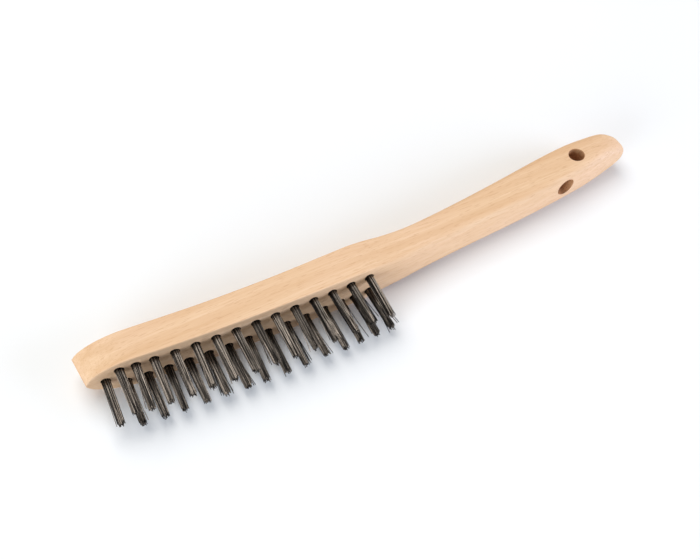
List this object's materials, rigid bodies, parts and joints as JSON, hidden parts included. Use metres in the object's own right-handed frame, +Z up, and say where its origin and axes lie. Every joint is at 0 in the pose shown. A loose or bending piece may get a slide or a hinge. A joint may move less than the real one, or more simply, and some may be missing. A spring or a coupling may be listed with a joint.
{
  "type": "wire scratch brush",
  "caption": "Hand wire scratch brush with a wooden block-and-handle body, staggered rows of folded steel wire tufts held by anchors, and hanging holes at the tail.",
  "frame": {"origin": "middle of the bounding box's footprint, on the surface the brush lies on", "axes": "+X from the nose to the tail of the handle, the tufts point along -Y and the back of the block faces +Y, +Z up out of the upper side face"},
  "size_m": [0.2902, 0.0498, 0.0222],
  "materials": {
    "wood": "satin",
    "wire": "satin",
    "anchor": "satin"
  },
  "bodies": {
    "root": {"wooden_body": "wood", "tuft_lower_01": "wire", "tuft_lower_02": "wire", "tuft_lower_03": "wire", "tuft_lower_04": "wire", "tuft_lower_05": "wire", "tuft_lower_06": "wire", "tuft_lower_07": "wire", "tuft_lower_08": "wire", "tuft_lower_09": "wire", "tuft_lower_10": "wire", "tuft_lower_11": "wire", "tuft_lower_12": "wire", "tuft_lower_13": "wire", "tuft_lower_14": "wire", "tuft_nose": "wire", "tuft_upper_01": "wire", "tuft_upper_02": "wire", "tuft_upper_03": "wire", "tuft_upper_04": "wire", "tuft_upper_05": "wire", "tuft_upper_06": "wire", "tuft_upper_07": "wire", "tuft_upper_08": "wire", "tuft_upper_09": "wire", "tuft_upper_10": "wire", "tuft_upper_11": "wire", "tuft_upper_12": "wire", "tuft_upper_13": "wire", "tuft_upper_14": "wire", "anchor_lower_01": "anchor", "anchor_lower_02": "anchor", "anchor_lower_03": "anchor", "anchor_lower_04": "anchor", "anchor_lower_05": "anchor", "anchor_lower_06": "anchor", "anchor_lower_07": "anchor", "anchor_lower_08": "anchor", "anchor_lower_09": "anchor", "anchor_lower_10": "anchor", "anchor_lower_11": "anchor", "anchor_lower_12": "anchor", "anchor_lower_13": "anchor", "anchor_lower_14": "anchor", "anchor_nose": "anchor", "anchor_upper_01": "anchor", "anchor_upper_02": "anchor", "anchor_upper_03": "anchor", "anchor_upper_04": "anchor", "anchor_upper_05": "anchor", "anchor_upper_06": "anchor", "anchor_upper_07": "anchor", "anchor_upper_08": "anchor", "anchor_upper_09": "anchor", "anchor_upper_10": "anchor", "anchor_upper_11": "anchor", "anchor_upper_12": "anchor", "anchor_upper_13": "anchor", "anchor_upper_14": "anchor"}
  },
  "joints": []
}
